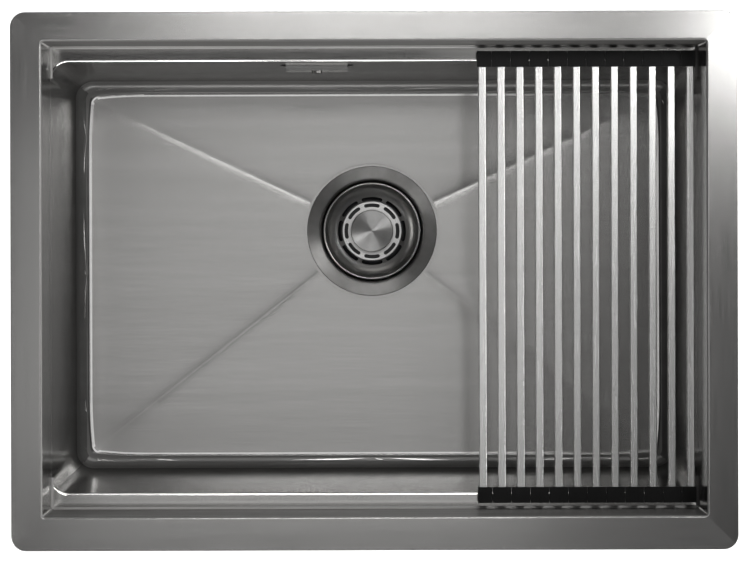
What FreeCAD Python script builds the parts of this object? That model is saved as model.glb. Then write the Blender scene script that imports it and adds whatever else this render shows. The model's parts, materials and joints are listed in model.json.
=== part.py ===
"""A stainless undermount kitchen sink with ledges, a basket waste, an overflow and a roll-up drying rack.

Sizes are in millimetres. The origin is the centre of the opening, on the rim's top face, which is the
face that goes against the underside of a worktop. +X runs along the long side, +Y towards the back, where the
tap stands, and +Z up. Each separate piece is written to parts/NAME.step.
"""

import FreeCAD
import Part
import math
import os

Vector = FreeCAD.Vector
UP = Vector(0, 0, 1)
ALONG_X = Vector(1, 0, 0)

# ---------------------------------------------------------------- driving sizes
# Pressed and welded bowl
RIM_LENGTH = 580.0
RIM_WIDTH = 430.0
RIM_CORNER_RADIUS = 12.0
RIM_EDGE_RADIUS = 0.5
SIDE_FLANGE = 24.8
BACK_FLANGE = 23.5
FRONT_FLANGE = 27.1
SHEET = 1.2
OPENING_CORNER_RADIUS = 2.5
RIM_BEND_RADIUS = 1.6
LEDGE_DEPTH = 60.0
LEDGE_WIDTH = 13.0
LEDGE_BEND_RADIUS = 2.0
LEDGE_COVE_SIZE = 2.0
LEDGE_COVE_HOLLOW = 0.8
BOWL_CORNER_RADIUS = 15.0
WALL_DRAFT = 8.0
END_WALL_DRAFT = 5.2
LAND_DEPTH = 210.0
FLOOR_RADIUS = 8.0
LAND_MARGIN = 0.6
FLOOR_STEP = 1.0
FLOOR_STEP_RUN = 5.0
FLOOR_STEP_STRIPS = 6
FLOOR_CORNER_RADIUS = 7.0
FLOOR_SWEEP = 2.0
FLOOR_SWEEP_LENGTH = 40.0
FLOOR_FALL = 3.0
DRAIN_LEFT_OFFSET = 1.8
DRAIN_BACK_OFFSET = 37.8
DRAIN_HOLE_RADIUS = 46.6
DRAIN_RECESS_RADIUS = 59.5
DRAIN_RECESS_DEPTH = 1.5

# Sound-deadening pads, glued to the outside
PAD_THICKNESS = 3.0
PAD_CORNER_RADIUS = 12.0
FLOOR_PAD_DRAIN_GAP = 69.5
FLOOR_PAD_END_GAP = 30.7
FLOOR_PAD_SIDE_GAP = 46.7
WALL_PAD_HEIGHT = 92.0
WALL_PAD_TOP = 28.0
FRONT_PAD_END_GAP = 100.2
SIDE_PAD_END_GAP = 51.7
BACK_PAD_START = 30.0
BACK_PAD_END_GAP = 45.2

# Waste: steel cup with a wide flange, clamped by one screw to a moulded body under the floor
FLANGE_RADIUS = 57.0
FLANGE_SHEET = 1.0
FLANGE_FALL = 0.8
THROAT_RADIUS = 44.6
THROAT_LIP_RADIUS = 2.6
CUP_DEPTH = 30.0
CUP_FLOOR_RADIUS = 5.5
CUP_HOLE_COUNT = 6
CUP_HOLE_RADIUS = 5.2
CUP_HOLE_CIRCLE_RADIUS = 19.0
SEAL_THICKNESS = 1.0
SEAL_INSET = 1.0
GASKET_THICKNESS = 4.0
GASKET_WIDTH = 7.0
BODY_WALL = 3.0
BODY_CLEARANCE = 1.4
BODY_LIP_HEIGHT = 6.0
BODY_BARREL_DEPTH = 50.0
BODY_CONE_DEPTH = 22.0
SPIGOT_LENGTH = 34.0
SPIGOT_BORE_RADIUS = 20.4
HUB_RADIUS = 8.0
HUB_HEIGHT = 14.0
HUB_RIB_THICKNESS = 3.0
HUB_RIB_COUNT = 3
HUB_RIB_TURN = 30.0
HUB_RIB_DROP = 2.0
SCREW_RADIUS = 4.0
SCREW_HEAD_RADIUS = 7.0
SCREW_HEAD_HEIGHT = 2.6
SCREW_HEAD_EDGE = 1.0
SCREW_SLOT_WIDTH = 1.6
SCREW_SLOT_DEPTH = 1.4
CLAMP_NUT_ACROSS_FLATS = 13.0
CLAMP_NUT_HEIGHT = 6.5
CLAMP_SCREW_TAIL = 4.0

# Outlet under the waste body
OUTLET_TUBE_RADIUS = 20.0
OUTLET_TUBE_WALL = 2.0
OUTLET_TUBE_LENGTH = 120.0
OUTLET_TUBE_INSERT = 26.0
OUTLET_TUBE_RELIEF = 0.4
OUTLET_SHOULDER_GAP = 2.0
OUTLET_NUT_HEIGHT = 24.0
OUTLET_NUT_WALL = 5.0
OUTLET_NUT_LIP = 3.5
OUTLET_NUT_CLEARANCE = 0.2
OUTLET_NUT_RIB_COUNT = 12
OUTLET_NUT_RIB_DEPTH = 1.6
OUTLET_WASHER_HEIGHT = 5.0
GRIP_GROOVE_SHARE = 0.55

# Basket that lifts out of the cup
BASKET_RADIUS = 42.6
BASKET_SHEET = 0.8
BASKET_DROP = 1.6
BASKET_DEPTH = 17.5
BASKET_FLOOR_RADIUS = 26.0
BASKET_SLOPE_RADIUS = 31.0
BASKET_SLOPE_RISE = 3.4
BASKET_BEAD_RADIUS = 0.9
BASKET_WALL_BOW = 1.6
SLOT_COUNT = 8
SLOT_WIDTH = 3.2
INNER_SLOT_RADIUS = 22.8
INNER_SLOT_ANGLE = 27.0
OUTER_SLOT_RADIUS = 28.4
OUTER_SLOT_ANGLE = 31.0
CAP_RADIUS = 18.7
CAP_THICKNESS = 4.6
CAP_EDGE = 0.8
CAP_HEIGHT = 9.4
POST_RADIUS = 6.0
POST_SHANK_RADIUS = 3.0
POST_SPACER = 1.7
STOPPER_RADIUS = 30.0
STOPPER_THICKNESS = 2.0
STOPPER_LIP = 2.2
STOPPER_CLEARANCE = 0.3
BASKET_NUT_ACROSS_FLATS = 9.0
BASKET_NUT_HEIGHT = 2.4

# Overflow in the back wall
OVERFLOW_X = -47.0
OVERFLOW_BELOW_LEDGE = 24.0
OVERFLOW_SLOT_LENGTH = 61.0
OVERFLOW_SLOT_HEIGHT = 15.0
COVER_LENGTH = 51.0
COVER_HEIGHT = 24.0
COVER_STANDOFF = 5.0
COVER_SHEET = 1.0
COVER_BEVEL = 3.6
COVER_FOOT = 2.6
COVER_SCREW_RADIUS = 2.4
COVER_SCREW_HEAD_RADIUS = 4.2
COVER_SCREW_HEAD_HEIGHT = 1.8
COVER_SCREW_SLOT_WIDTH = 1.0
COVER_SCREW_REACH = 16.2
OVERFLOW_SEAL_THICKNESS = 2.0
OVERFLOW_FLANGE_LENGTH = 78.0
OVERFLOW_FLANGE_HEIGHT = 32.0
OVERFLOW_FLANGE_THICKNESS = 2.4
OVERFLOW_BOX_LENGTH = 66.0
OVERFLOW_BOX_HEIGHT = 21.0
OVERFLOW_BOX_DEPTH = 27.0
OVERFLOW_BOX_WALL = 2.0
OVERFLOW_CORNER_RADIUS = 6.0
OVERFLOW_BOX_CORNER_RADIUS = 5.0
OVERFLOW_SPIGOT_LENGTH = 22.0
OVERFLOW_SPIGOT_INSET = 0.8

# Ribbed overflow hose and the parts at its ends
HOSE_BORE_RADIUS = 8.0
HOSE_CUFF_RADIUS = 11.6
HOSE_ROOT_RADIUS = 9.6
HOSE_CREST_RADIUS = 12.0
HOSE_CUFF_LENGTH = 24.0
HOSE_CUFF_CHAMFER = 0.6
HOSE_BEND_RADIUS = 48.0
HOSE_RIB_PITCH = 4.4
PORT_BELOW_GASKET = 34.0
PORT_REACH = 24.0
PORT_BORE_RADIUS = 8.0
PORT_WALL = 3.0
COLLAR_HEIGHT = 15.0
COLLAR_WALL = 3.0
COLLAR_LIP = 2.6
COLLAR_RIB_COUNT = 16
COLLAR_RIB_DEPTH = 1.0
HOSE_WASHER_THICKNESS = 2.0

# Roll-up drying rack, resting on the two ledges
RACK_BAR_COUNT = 12
RACK_PITCH = 15.45
RACK_BAR_SIZE = 6.2
RACK_BAR_WALL = 0.6
RACK_BAR_CORNER = 0.8
RACK_END_GAP = 5.3
RACK_BACK_OFFSET = 0.1
RACK_WALL_GAP = 2.8
SHOE_SEAT_GAP = 0.3
SHOE_DEPTH = 13.0
SHOE_FOOT_WIDTH = 8.2
SHOE_HEIGHT = 11.0
SHOE_WEB_THICKNESS = 2.2
SHOE_FOOT_TAPER = 0.5
SHOE_JOINT_GAP = 0.3
BAR_BELOW_SHOE_TOP = 1.5
BAR_SOCKET_DEPTH = 10.0

# ---------------------------------------------------------------- sizes worked out from those above
HALF_LENGTH = RIM_LENGTH / 2 - SIDE_FLANGE
HALF_WIDTH = (RIM_WIDTH - BACK_FLANGE - FRONT_FLANGE) / 2
RIM_FRONT_SHIFT = (FRONT_FLANGE - BACK_FLANGE) / 2
BOWL_HALF_WIDTH = HALF_WIDTH - LEDGE_WIDTH
LAND_HALF_WIDTH = BOWL_HALF_WIDTH - WALL_DRAFT
LAND_HALF_LENGTH = HALF_LENGTH - END_WALL_DRAFT
DRAFT_HEIGHT = LAND_DEPTH - LEDGE_DEPTH
DRAFT_ANGLE = math.atan2(WALL_DRAFT, DRAFT_HEIGHT)
FLOOR_EDGE = FLOOR_RADIUS + LAND_MARGIN
APEX_DEPTH = LAND_DEPTH + FLOOR_STEP + FLOOR_FALL
RECESS_DEPTH = APEX_DEPTH + DRAIN_RECESS_DEPTH
DRAIN = Vector(-DRAIN_LEFT_OFFSET, DRAIN_BACK_OFFSET, 0)

FLANGE_UNDERSIDE = -RECESS_DEPTH + SEAL_THICKNESS
FLANGE_TOP = FLANGE_UNDERSIDE + FLANGE_SHEET
CUP_OUTSIDE_RADIUS = THROAT_RADIUS + FLANGE_SHEET
CUP_FLOOR = FLANGE_TOP - CUP_DEPTH
SHEET_UNDERSIDE = -RECESS_DEPTH - SHEET
BODY_TOP = SHEET_UNDERSIDE - GASKET_THICKNESS
BODY_BORE_RADIUS = CUP_OUTSIDE_RADIUS + BODY_CLEARANCE
BODY_RADIUS = BODY_BORE_RADIUS + BODY_WALL
BODY_LIP_RADIUS = BODY_BORE_RADIUS + GASKET_WIDTH + BODY_WALL
BARREL_BOTTOM = BODY_TOP - BODY_BARREL_DEPTH
CONE_BOTTOM = BARREL_BOTTOM - BODY_CONE_DEPTH
SPIGOT_RADIUS = SPIGOT_BORE_RADIUS + BODY_WALL
SPIGOT_BOTTOM = CONE_BOTTOM - SPIGOT_LENGTH
HUB_TOP = BARREL_BOTTOM + HUB_HEIGHT

BASKET_TOP = FLANGE_TOP - BASKET_DROP
BASKET_FLOOR = BASKET_TOP - BASKET_DEPTH
BASKET_UNDERSIDE = BASKET_FLOOR - BASKET_SHEET
STOPPER_TOP = BASKET_UNDERSIDE - POST_SPACER
STOPPER_DISC_BOTTOM = STOPPER_TOP - STOPPER_THICKNESS
STOPPER_BOTTOM = CUP_FLOOR + STOPPER_CLEARANCE
CAP_TOP = BASKET_FLOOR + CAP_HEIGHT

SHEET_ALONG_NORMAL = SHEET * math.cos(DRAFT_ANGLE)
PORT_LEVEL = BODY_TOP - PORT_BELOW_GASKET
PORT_RADIUS = PORT_BORE_RADIUS + PORT_WALL

RACK_LENGTH = 2 * (HALF_WIDTH - RACK_END_GAP)
SHOE_SOLE_LEVEL = -LEDGE_DEPTH + SHOE_SEAT_GAP
SHOE_TOP_LEVEL = SHOE_SOLE_LEVEL + SHOE_HEIGHT
BAR_CENTRE_LEVEL = SHOE_TOP_LEVEL - BAR_BELOW_SHOE_TOP - RACK_BAR_SIZE / 2
LAST_BAR_X = HALF_LENGTH - RACK_WALL_GAP - SHOE_FOOT_WIDTH / 2
FIRST_BAR_X = LAST_BAR_X - RACK_PITCH * (RACK_BAR_COUNT - 1)


# ---------------------------------------------------------------- helpers
# Edges and faces within this distance of a place count as being there
NEAR = 0.01


def save(name, shape):
    """Writes one piece, after checking that it is made of closed solids."""
    if not shape.isValid() or not shape.Solids or min(s.Volume for s in shape.Solids) <= 0:
        raise ValueError(name + " is not a valid solid")
    shape.exportStep("parts/" + name + ".step")
    print("%-22s %2d solid(s) %10.0f mm3" % (name, len(shape.Solids), shape.Volume))


def outline(half_x, half_y, radius, level, centre=Vector(0, 0, 0), sweep=0.0):
    """A rounded rectangle as a wire of sides and corner arcs. With a sweep the ends of each side bend gently
    inwards by that much before they reach the corner."""
    edges = []
    for quarter in range(4):
        turn = FreeCAD.Rotation(UP, 90 * quarter)
        reach, span = (half_x, half_y) if quarter % 2 == 0 else (half_y, half_x)
        side_end = span - sweep - radius
        straight_end = side_end - FLOOR_SWEEP_LENGTH if sweep else side_end
        halfway = (straight_end + side_end) / 2
        diagonal = radius * math.sqrt(0.5)
        centre_x = reach - sweep - radius
        points = [
            (reach - sweep, -side_end), (reach - sweep / 4, -halfway), (reach, -straight_end),
            (reach, straight_end), (reach - sweep / 4, halfway), (reach - sweep, side_end),
            (centre_x + diagonal, side_end + diagonal), (centre_x, side_end + radius),
        ]
        shift = centre + Vector(0, 0, level)
        place = [turn.multVec(Vector(x, y, 0)) + shift for x, y in points]
        if sweep:
            edges.append(Part.Arc(*place[0:3]).toShape())
        edges.append(Part.makeLine(place[2], place[3]))
        if sweep:
            edges.append(Part.Arc(*place[3:6]).toShape())
        edges.append(Part.Arc(*place[5:8]).toShape())
    return Part.Wire(edges)


def prism(half_x, half_y, radius, top, bottom, centre=Vector(0, 0, 0)):
    """An upright rounded block between two levels."""
    face = Part.Face(outline(half_x, half_y, radius, bottom, centre))
    return face.extrude(UP * (top - bottom))


def ruled_solid(wires):
    return Part.makeLoft(wires, True, True)


def cylinder(radius, top, bottom, centre=Vector(0, 0, 0)):
    return Part.makeCylinder(radius, top - bottom, Vector(centre.x, centre.y, bottom), UP)


def ring(outer, inner, top, bottom, centre=Vector(0, 0, 0)):
    return cylinder(outer, top, bottom, centre).cut(cylinder(inner, top, bottom, centre))


def block(low, high):
    return Part.makeBox(high.x - low.x, high.y - low.y, high.z - low.z, low)


def turned(points, centre=Vector(0, 0, 0)):
    """A solid of revolution about an upright axis through centre. A point is (radius, level), and a pair of
    points in a list is an arc from the point before, through its first, to its second."""
    edges = []
    here = points[0]
    for item in points[1:] + [points[0]]:
        if isinstance(item, list):
            middle, end = item
            edges.append(Part.Arc(*[Vector(r, 0, z) for r, z in (here, middle, end)]).toShape())
            here = end
        else:
            edges.append(Part.makeLine(Vector(here[0], 0, here[1]), Vector(item[0], 0, item[1])))
            here = item
    face = Part.Face(Part.Wire(edges))
    solid = face.revolve(Vector(0, 0, 0), UP, 360)
    solid.translate(Vector(centre.x, centre.y, 0))
    return Part.Solid(solid.Solids[0]) if solid.Solids else solid


def arc_middle(centre, radius, degrees):
    """The point of a profile arc at an angle, measured from the outward direction."""
    angle = math.radians(degrees)
    return (centre[0] + radius * math.cos(angle), centre[1] + radius * math.sin(angle))


def hexagon(across_flats, top, bottom, centre=Vector(0, 0, 0)):
    corner = across_flats / math.sqrt(3)
    points = []
    for k in range(7):
        angle = math.radians(60 * k)
        spot = Vector(corner * math.cos(angle), corner * math.sin(angle), bottom)
        points.append(spot + Vector(centre.x, centre.y, 0))
    return Part.Face(Part.makePolygon(points)).extrude(UP * (top - bottom))


def around(shape, count, centre, first=0.0):
    """Copies of a shape, evenly spaced about the upright axis through centre."""
    copies = []
    for k in range(count):
        copy = shape.copy()
        copy.rotate(centre, UP, first + 360.0 * k / count)
        copies.append(copy)
    return copies


def fused(shapes):
    return shapes[0].multiFuse(shapes[1:]).removeSplitter()


# ---------------------------------------------------------------- bowl
def upper_form(grow):
    """The straight-sided space from the rim down to the ledges, grown by a skin thickness."""
    corner = OPENING_CORNER_RADIUS + grow
    return prism(HALF_LENGTH + grow, HALF_WIDTH + grow, corner, 0, -LEDGE_DEPTH - grow)


def lower_form(grow):
    """The bowl below the ledges. Its front and back walls lean in, and its floor edge is round."""
    corner = BOWL_CORNER_RADIUS + grow
    top = outline(HALF_LENGTH + grow, BOWL_HALF_WIDTH + grow, corner, -LEDGE_DEPTH)
    foot_x = LAND_HALF_LENGTH + grow - END_WALL_DRAFT * grow / DRAFT_HEIGHT
    foot_y = LAND_HALF_WIDTH + grow - WALL_DRAFT * grow / DRAFT_HEIGHT
    foot = outline(foot_x, foot_y, corner, -LAND_DEPTH - grow)
    form = ruled_solid([top, foot])
    floor_edges = [e for e in form.Edges if max(v.Z for v in e.Vertexes) < -LAND_DEPTH - grow + NEAR]
    form = form.makeFillet(FLOOR_RADIUS + grow, floor_edges)
    return form if grow else flared(form)


def flared(form):
    """Rounds the ledges' inner edges: the bowl's mouth flares out to meet them, but not through the side
    walls, which run straight down from the rim."""
    bend = LEDGE_BEND_RADIUS
    mouth_top = -LEDGE_DEPTH + bend
    mouth = prism(HALF_LENGTH + LEDGE_WIDTH, HALF_WIDTH, BOWL_CORNER_RADIUS, mouth_top, -LEDGE_DEPTH)
    form = form.fuse(mouth)
    narrow = HALF_LENGTH + LEDGE_WIDTH / 2
    mouth_edges = []
    for edge in form.Edges:
        box = edge.BoundBox
        level = abs(box.ZMin + LEDGE_DEPTH) < NEAR and abs(box.ZMax + LEDGE_DEPTH) < NEAR
        inner_x = max(abs(box.XMin), abs(box.XMax)) < narrow
        inner_y = max(abs(box.YMin), abs(box.YMax)) < HALF_WIDTH - bend
        if level and inner_x and inner_y:
            mouth_edges.append(edge)
    form = form.makeFillet(bend, mouth_edges)
    low = Vector(-HALF_LENGTH, -HALF_WIDTH, -LAND_DEPTH - bend)
    return form.common(block(low, Vector(HALF_LENGTH, HALF_WIDTH, -LEDGE_DEPTH)))


def pan_outlines(grow):
    """The outlines of the pressed floor pan's edge, from the land down its step to its foot. The step starts
    steeply and levels out."""
    half_x = LAND_HALF_LENGTH - FLOOR_EDGE + grow
    half_y = LAND_HALF_WIDTH - FLOOR_EDGE + grow
    corner = FLOOR_CORNER_RADIUS + grow
    outlines = []
    for k in range(FLOOR_STEP_STRIPS + 1):
        turn = math.pi / 2 * k / FLOOR_STEP_STRIPS
        inset = FLOOR_STEP_RUN * (1 - math.cos(turn))
        drop = FLOOR_STEP * math.sin(turn)
        level = -LAND_DEPTH - grow - drop
        outlines.append(outline(half_x - inset, half_y - inset, corner, level, sweep=FLOOR_SWEEP))
    return outlines


def pan_form(grow):
    """The floor pan: a small step, then four shallow panels that fall to the drain, with creases from the
    corners between them, and the round recess that takes the waste's flange."""
    edge = pan_outlines(grow)
    foot = edge[-1]
    apex = Vector(DRAIN.x, DRAIN.y, -APEX_DEPTH - grow)
    centre = Vector(0, 0, -LAND_DEPTH - FLOOR_STEP - grow)
    tip_share = 0.01
    tip = foot.copy()
    tip.translate(-centre)
    tip.scale(tip_share)
    tip.translate(centre + (apex - centre) * (1 - tip_share))
    step = ruled_solid(edge)
    panels = ruled_solid([foot, tip])
    recess = cylinder(DRAIN_RECESS_RADIUS + grow, -LAND_DEPTH - FLOOR_STEP, -RECESS_DEPTH - grow, DRAIN)
    return fused([step, panels, recess])


def bowl_form(grow):
    return fused([upper_form(grow), lower_form(grow), pan_form(grow)])


def wall_frame():
    """The frame of the overflow on the back wall: its origin is on the wall's inner face, X runs along the
    wall, Y points out through it and Z runs up it."""
    drop = OVERFLOW_BELOW_LEDGE
    spot = Vector(OVERFLOW_X, BOWL_HALF_WIDTH - drop * math.tan(DRAFT_ANGLE), -LEDGE_DEPTH - drop)
    lean = FreeCAD.Rotation(ALONG_X, -math.degrees(DRAFT_ANGLE))
    return FreeCAD.Placement(spot, lean)


def on_wall(shape):
    moved = shape.copy()
    moved.Placement = wall_frame().multiply(moved.Placement)
    return moved


def wall_slab(half_length, half_height, radius, inner, outer):
    """A rounded plate that lies along the back wall, between two distances from the wall's inner face."""
    face = Part.Face(outline(half_length, half_height, radius, 0))
    plate = face.extrude(UP * (outer - inner))
    plate.rotate(Vector(0, 0, 0), ALONG_X, -90)
    plate.translate(Vector(0, inner, 0))
    return plate


def cove(corner, inward, along):
    """The hollow weld in the corner between a ledge and the wall over it, from a corner point, the way into
    the opening and the run along the wall."""
    out = corner + inward * LEDGE_COVE_SIZE
    up = corner + UP * LEDGE_COVE_SIZE
    hollow = corner + (inward + UP) * LEDGE_COVE_HOLLOW
    edges = [Part.makeLine(corner, out), Part.Arc(out, hollow, up).toShape(), Part.makeLine(up, corner)]
    return Part.Face(Part.Wire(edges)).extrude(along)


def ledge_coves():
    """One cove behind each ledge, and one at each of its ends."""
    coves = []
    end_length = LEDGE_WIDTH + BOWL_CORNER_RADIUS - LEDGE_BEND_RADIUS
    for front_back in (-1, 1):
        inward = Vector(0, -front_back, 0)
        left = Vector(-HALF_LENGTH, front_back * HALF_WIDTH, -LEDGE_DEPTH)
        coves.append(cove(left, inward, ALONG_X * 2 * HALF_LENGTH))
        for side in (-1, 1):
            corner = Vector(side * HALF_LENGTH, front_back * HALF_WIDTH, -LEDGE_DEPTH)
            coves.append(cove(corner, ALONG_X * -side, inward * end_length))
    return coves


def rim_windows():
    """The space of each rim strip: four wedges that meet in mitres from the opening's corners outwards."""
    near_x = HALF_LENGTH - OPENING_CORNER_RADIUS
    near_y = HALF_WIDTH - OPENING_CORNER_RADIUS
    far_x = near_x + RIM_WIDTH
    far_y = near_y + RIM_WIDTH
    windows = []
    long_strip = [(-near_x, near_y), (near_x, near_y), (far_x, far_y), (-far_x, far_y)]
    end_strip = [(near_x, -near_y), (near_x, near_y), (far_x, far_y), (far_x, -far_y)]
    strips = (
        ("rim_back", 1, long_strip), ("rim_front", -1, long_strip),
        ("rim_left", -1, end_strip), ("rim_right", 1, end_strip),
    )
    for name, side, corners in strips:
        points = [Vector(side * x, side * y, -LEDGE_DEPTH) for x, y in corners + corners[:1]]
        windows.append((name, Part.Face(Part.makePolygon(points)).extrude(UP * 2 * LEDGE_DEPTH)))
    return windows


def make_bowl():
    """The welded shell, split at its welds: four mitred strips of rim and upper wall, and the bowl with its
    ledges under them."""
    rim_centre = Vector(0, -RIM_FRONT_SHIFT, 0)
    rim = prism(RIM_LENGTH / 2, RIM_WIDTH / 2, RIM_CORNER_RADIUS, 0, -SHEET, rim_centre)
    rim = rim.makeFillet(RIM_EDGE_RADIUS, [e for e in rim.Edges if e.BoundBox.ZMin > -NEAR])
    shell = fused([rim, bowl_form(SHEET)]).cut(bowl_form(0.0))
    opening_edges = []
    for edge in shell.Edges:
        box = edge.BoundBox
        on_top = box.ZMin > -NEAR
        inside = box.XMax < HALF_LENGTH + NEAR and box.XMin > -HALF_LENGTH - NEAR
        if on_top and inside and box.YMax < HALF_WIDTH + NEAR and box.YMin > -HALF_WIDTH - NEAR:
            opening_edges.append(edge)
    shell = shell.makeFillet(RIM_BEND_RADIUS, opening_edges)
    shell = fused([shell] + ledge_coves())
    shell = shell.cut(cylinder(DRAIN_HOLE_RADIUS, -APEX_DEPTH, -RECESS_DEPTH - 2 * SHEET, DRAIN))
    half_height = OVERFLOW_SLOT_HEIGHT / 2
    slot = wall_slab(OVERFLOW_SLOT_LENGTH / 2, half_height, half_height - NEAR, -SHEET, 2 * SHEET)
    shell = shell.cut(on_wall(slot))
    low = Vector(-RIM_LENGTH, -RIM_WIDTH, -RECESS_DEPTH - 2 * SHEET)
    save("sink_bowl", shell.common(block(low, Vector(RIM_LENGTH, RIM_WIDTH, -LEDGE_DEPTH))))
    for name, window in rim_windows():
        save(name, shell.common(window))


# ---------------------------------------------------------------- sound pads
def make_pads():
    """Rubber pads: parts of a layer that follows the outside of the bowl exactly."""
    layer = bowl_form(SHEET + PAD_THICKNESS).cut(bowl_form(SHEET))
    low = -RECESS_DEPTH - SHEET - 2 * PAD_THICKNESS
    inner = FLOOR_PAD_DRAIN_GAP
    outer = HALF_LENGTH - FLOOR_PAD_END_GAP
    half_across = LAND_HALF_WIDTH - FLOOR_PAD_SIDE_GAP
    for name, side in (("floor_pad_left", -1), ("floor_pad_right", 1)):
        centre = Vector(side * (inner + outer) / 2, 0, 0)
        window = prism((outer - inner) / 2, half_across, PAD_CORNER_RADIUS, -LAND_DEPTH, low, centre)
        save(name, layer.common(window))
    middle = -LEDGE_DEPTH - WALL_PAD_TOP - WALL_PAD_HEIGHT / 2
    for name, side in (("side_pad_left", -1), ("side_pad_right", 1)):
        half_long = LAND_HALF_WIDTH - SIDE_PAD_END_GAP
        window = Part.Face(outline(WALL_PAD_HEIGHT / 2, half_long, PAD_CORNER_RADIUS, 0))
        window = window.extrude(UP * HALF_LENGTH)
        window.rotate(Vector(0, 0, 0), Vector(0, 1, 0), side * 90)
        window.translate(Vector(side * HALF_LENGTH / 2, 0, middle))
        save(name, layer.common(window))
    front_end = HALF_LENGTH - FRONT_PAD_END_GAP
    back_end = HALF_LENGTH - BACK_PAD_END_GAP
    for name, side, first, last in (
        ("front_pad", -1, -front_end, front_end),
        ("back_pad", 1, BACK_PAD_START, back_end),
    ):
        window = Part.Face(outline((last - first) / 2, WALL_PAD_HEIGHT / 2, PAD_CORNER_RADIUS, 0))
        window = window.extrude(UP * HALF_WIDTH)
        window.rotate(Vector(0, 0, 0), ALONG_X, -90 * side)
        window.translate(Vector((first + last) / 2, side * HALF_WIDTH / 2, middle))
        save(name, layer.common(window))


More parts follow.
